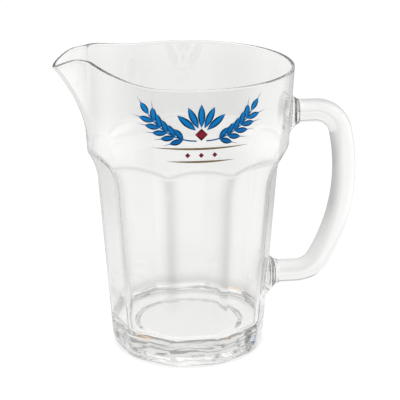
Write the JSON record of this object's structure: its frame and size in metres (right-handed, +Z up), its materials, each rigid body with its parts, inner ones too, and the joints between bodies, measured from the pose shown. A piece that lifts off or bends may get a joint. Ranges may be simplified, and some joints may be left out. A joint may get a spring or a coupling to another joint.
{
  "type": "beer pitcher",
  "caption": "Clear plastic beer pitcher with a panelled lower body, a round collar, a winged pouring spout and a solid bar handle.",
  "frame": {"origin": "on the axis of the body, in the plane of the foot that rests on the table", "axes": "+Z up along the body, +X toward the handle, -X toward the spout, -Y the side that carries the decoration"},
  "size_m": [0.2023, 0.1398, 0.2037],
  "materials": {
    "clear_plastic": "moulded clear plastic, polished",
    "handle_plastic": "moulded clear plastic, polished",
    "cement": "thin clear film, slightly milky",
    "blue_ink": "screen-printed ink, satin",
    "gold_ink": "screen-printed ink with metal pigment, satin",
    "red_ink": "screen-printed ink, satin"
  },
  "bodies": {
    "root": {"jug_body": "clear_plastic", "handle": "handle_plastic", "upper_bond": "cement", "lower_bond": "cement", "print_blue": "blue_ink", "print_gold": "gold_ink", "print_red": "red_ink"}
  },
  "joints": []
}
